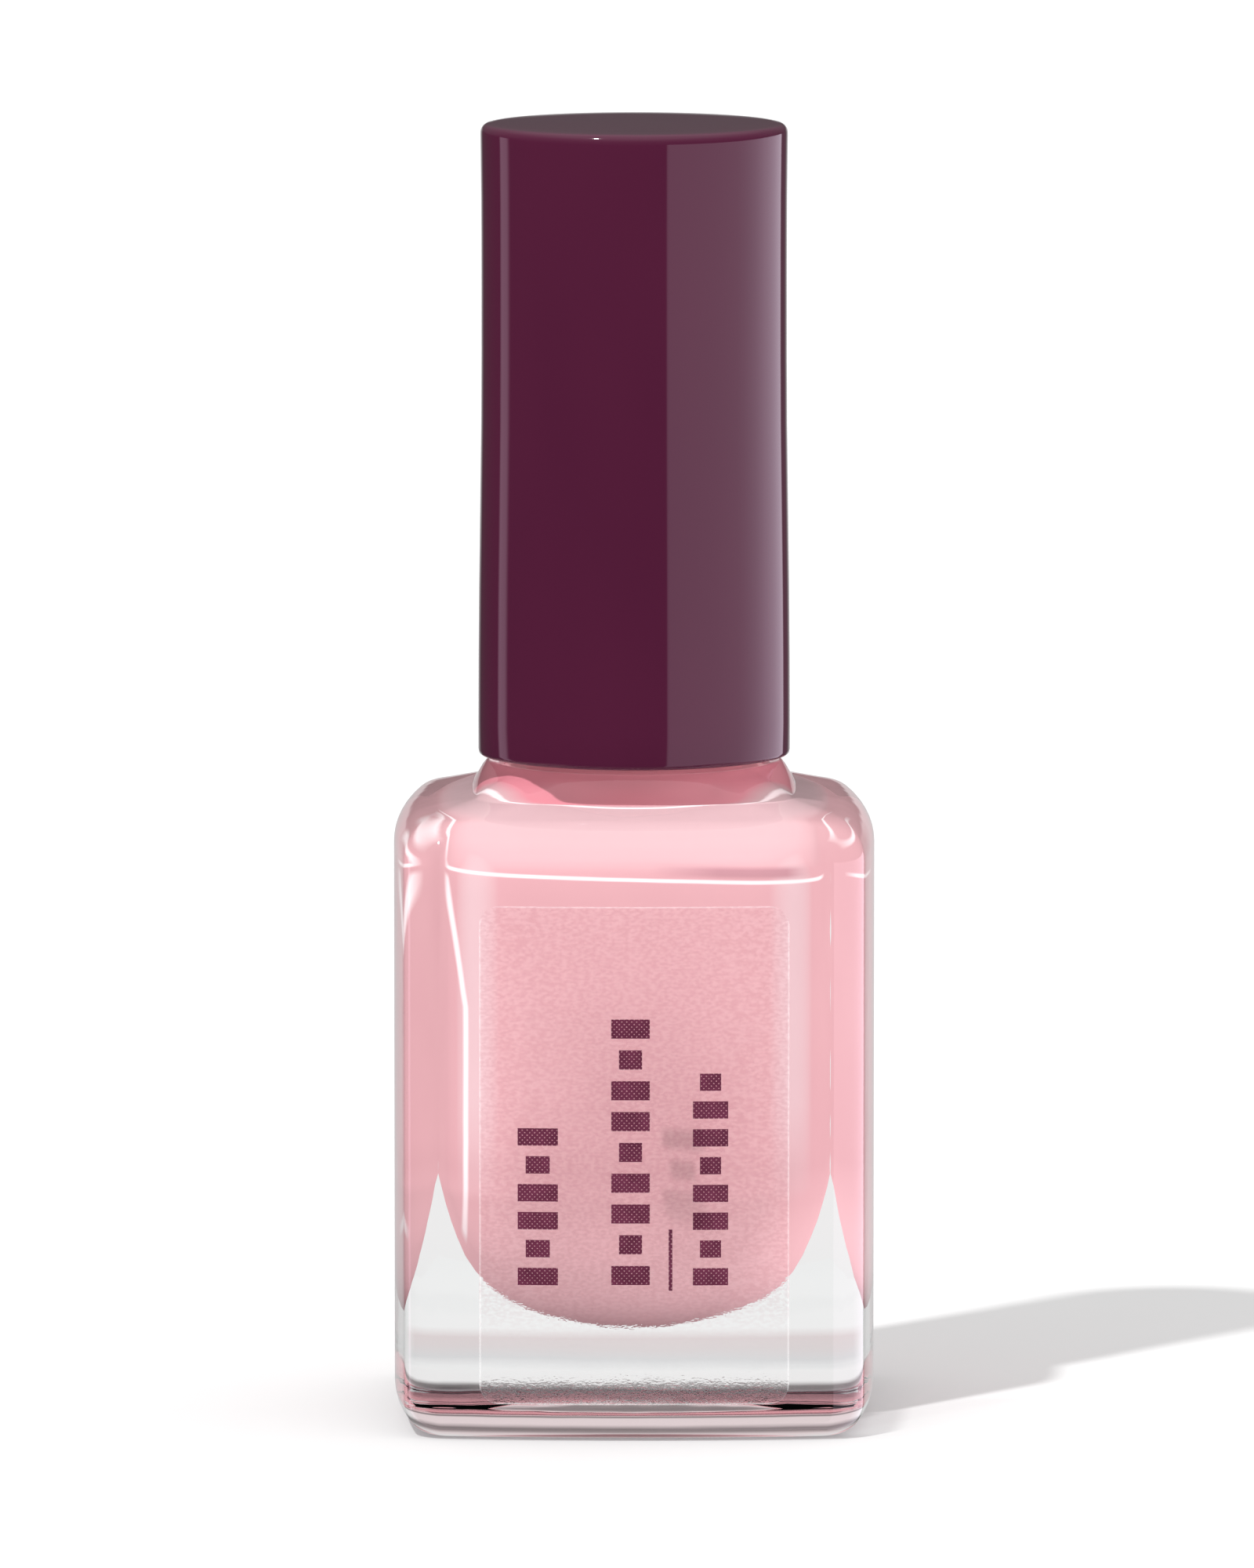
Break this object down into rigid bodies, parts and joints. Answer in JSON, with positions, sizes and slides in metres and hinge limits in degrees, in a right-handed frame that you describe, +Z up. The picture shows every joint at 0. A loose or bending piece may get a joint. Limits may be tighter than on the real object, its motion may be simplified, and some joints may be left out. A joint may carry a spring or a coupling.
{
  "type": "nail polish bottle",
  "caption": "Square clear glass nail polish bottle with pink lacquer, clear front label and a tall round screw cap that carries the brush.",
  "frame": {"origin": "centre of the bottle's base, on the surface it stands on", "axes": "+Z up along the cap's axis, the front label faces -Y, +X to the right as the label is seen"},
  "size_m": [0.029, 0.0281, 0.078],
  "materials": {
    "clear_glass": "gloss",
    "pink_lacquer": "gloss",
    "ball_steel": "polished",
    "label_film": "satin",
    "label_ink": "matte",
    "base_sticker": "matte",
    "cap_plastic": "gloss",
    "insert_plastic": "satin",
    "liner_foam": "matte",
    "stem_plastic": "satin",
    "staple_wire": "satin",
    "bristle_nylon": "satin"
  },
  "bodies": {
    "bottle": {"glass_bottle": "clear_glass", "lacquer_fill": "pink_lacquer", "mixing_balls": "ball_steel", "front_label": "label_film", "label_print": "label_ink", "base_label": "base_sticker"},
    "seal": {"cap_liner": "liner_foam"},
    "cap": {"cap_shell": "cap_plastic", "inner_cap": "insert_plastic", "brush_stem": "stem_plastic", "brush_staple": "staple_wire", "bristles": "bristle_nylon"}
  },
  "joints": [
    {"name": "cap_lift", "type": "slide", "parent": "bottle", "child": "seal", "axis": [0, 0, 1], "range_m": [0, 0.0466]},
    {"name": "cap_turn", "type": "hinge", "parent": "seal", "child": "cap", "pos_m": [0, 0, 0.05], "axis": [0, 0, 1], "range_deg": [0, 7920]}
  ],
  "couplings": [
    {"joint": "cap_lift", "follows": "cap_turn", "m_per_rad": 0.00033693}
  ]
}
